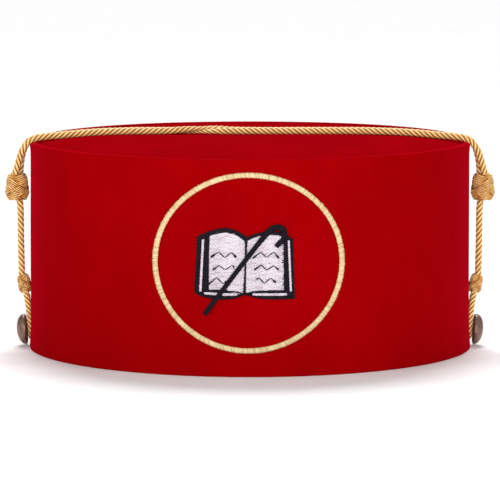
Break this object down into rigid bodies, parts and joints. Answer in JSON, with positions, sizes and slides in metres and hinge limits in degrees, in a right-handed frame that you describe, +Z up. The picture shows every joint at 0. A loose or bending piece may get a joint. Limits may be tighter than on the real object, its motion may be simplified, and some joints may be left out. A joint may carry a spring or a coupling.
{
  "type": "crown cap",
  "caption": "Oval velvet crown cap, open below, with a slightly domed top, a stitched front badge, and twisted gold cords with knots over the top between side buttons.",
  "frame": {"origin": "middle of the open bottom rim, on the surface the cap stands on", "axes": "+Z up through the domed top, -Y out of the front badge, +X towards the right-hand button as seen from the front"},
  "size_m": [0.2076, 0.2078, 0.0966],
  "materials": {
    "velvet": "deep red cut-pile velvet with a soft sheen",
    "gold_cord": "twisted gold-coloured cord with a silky sheen",
    "gold_thread": "pale gold satin stitch",
    "white_thread": "white fill stitch",
    "black_thread": "black satin stitch",
    "antique_brass": "antiqued dark brass, brighter where rubbed"
  },
  "bodies": {
    "root": {"side_band": "velvet", "top_panel": "velvet", "badge_ring": "gold_thread", "book_page_left": "white_thread", "book_page_right": "white_thread", "book_outline": "black_thread", "crook": "black_thread", "button_left": "antique_brass", "button_right": "antique_brass", "cord_eye_left": "gold_cord", "cord_eye_right": "gold_cord", "small_knot_left": "gold_cord", "small_knot_right": "gold_cord", "lower_cord_left": "gold_cord", "lower_cord_right": "gold_cord", "big_knot_left": "gold_cord", "big_knot_right": "gold_cord", "over_cord_left": "gold_cord", "over_cord_right": "gold_cord"}
  },
  "joints": []
}
